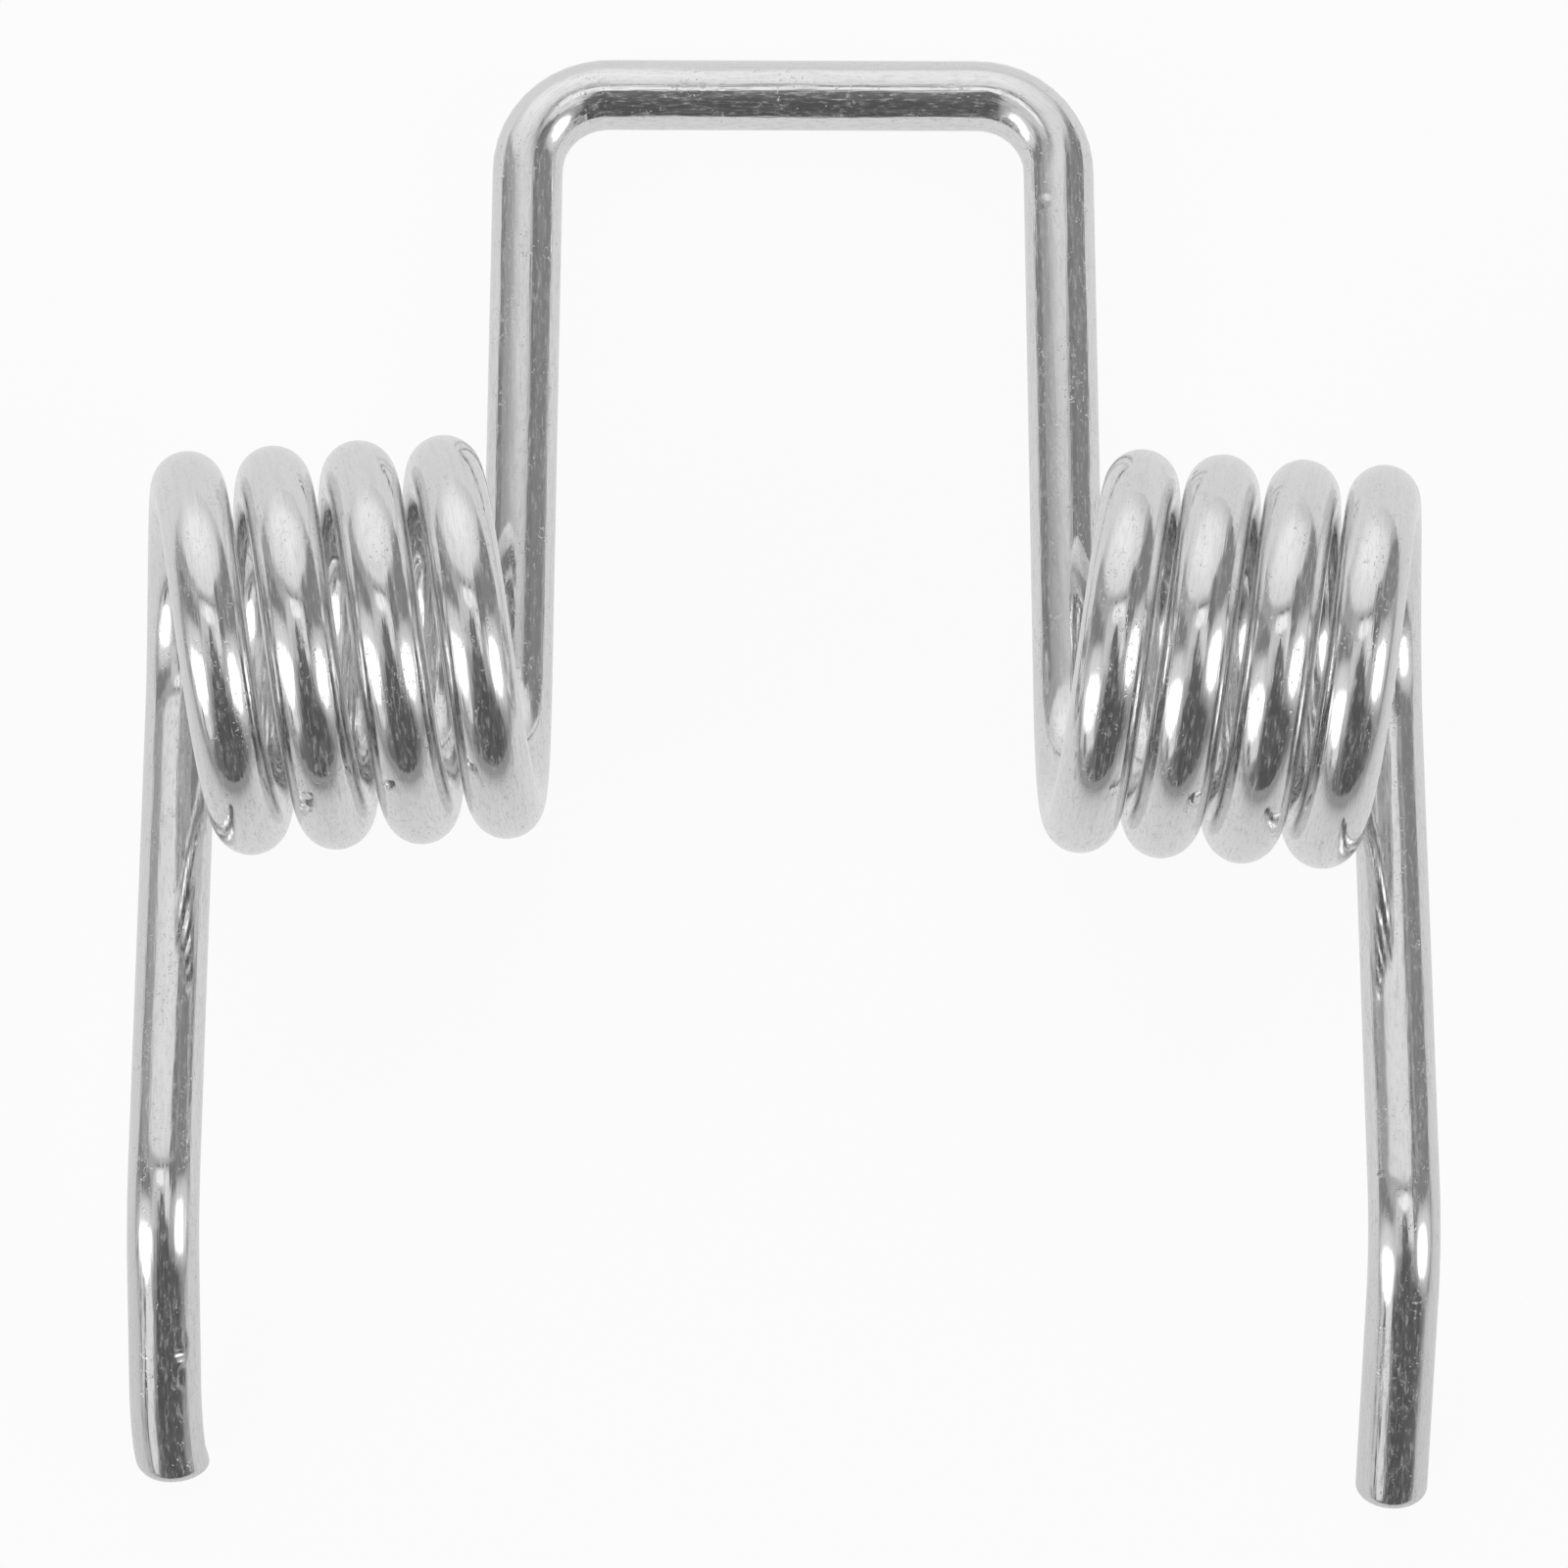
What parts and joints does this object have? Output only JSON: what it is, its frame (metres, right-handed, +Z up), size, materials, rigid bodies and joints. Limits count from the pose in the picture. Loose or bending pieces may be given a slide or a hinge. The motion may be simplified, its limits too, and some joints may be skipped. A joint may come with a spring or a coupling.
{
  "type": "double torsion spring",
  "caption": "Double torsion spring: a square wire bail between two mirrored coils, each running out to a straight leg with a bent end.",
  "frame": {"origin": "middle of the bounding box's base, on the surface that the spring lies on", "axes": "+Z up, away from that surface, on the side to which the coils arch; +Y from the bent ends towards the bail's bar; +X towards the slightly longer leg, on the right as seen from above with the bail at the top"},
  "size_m": [0.0726, 0.0834, 0.0254],
  "materials": {
    "spring_wire": "bright drawn stainless spring wire, with fine scratches along it"
  },
  "bodies": {
    "root": {"spring_wire": "spring_wire"}
  },
  "joints": []
}
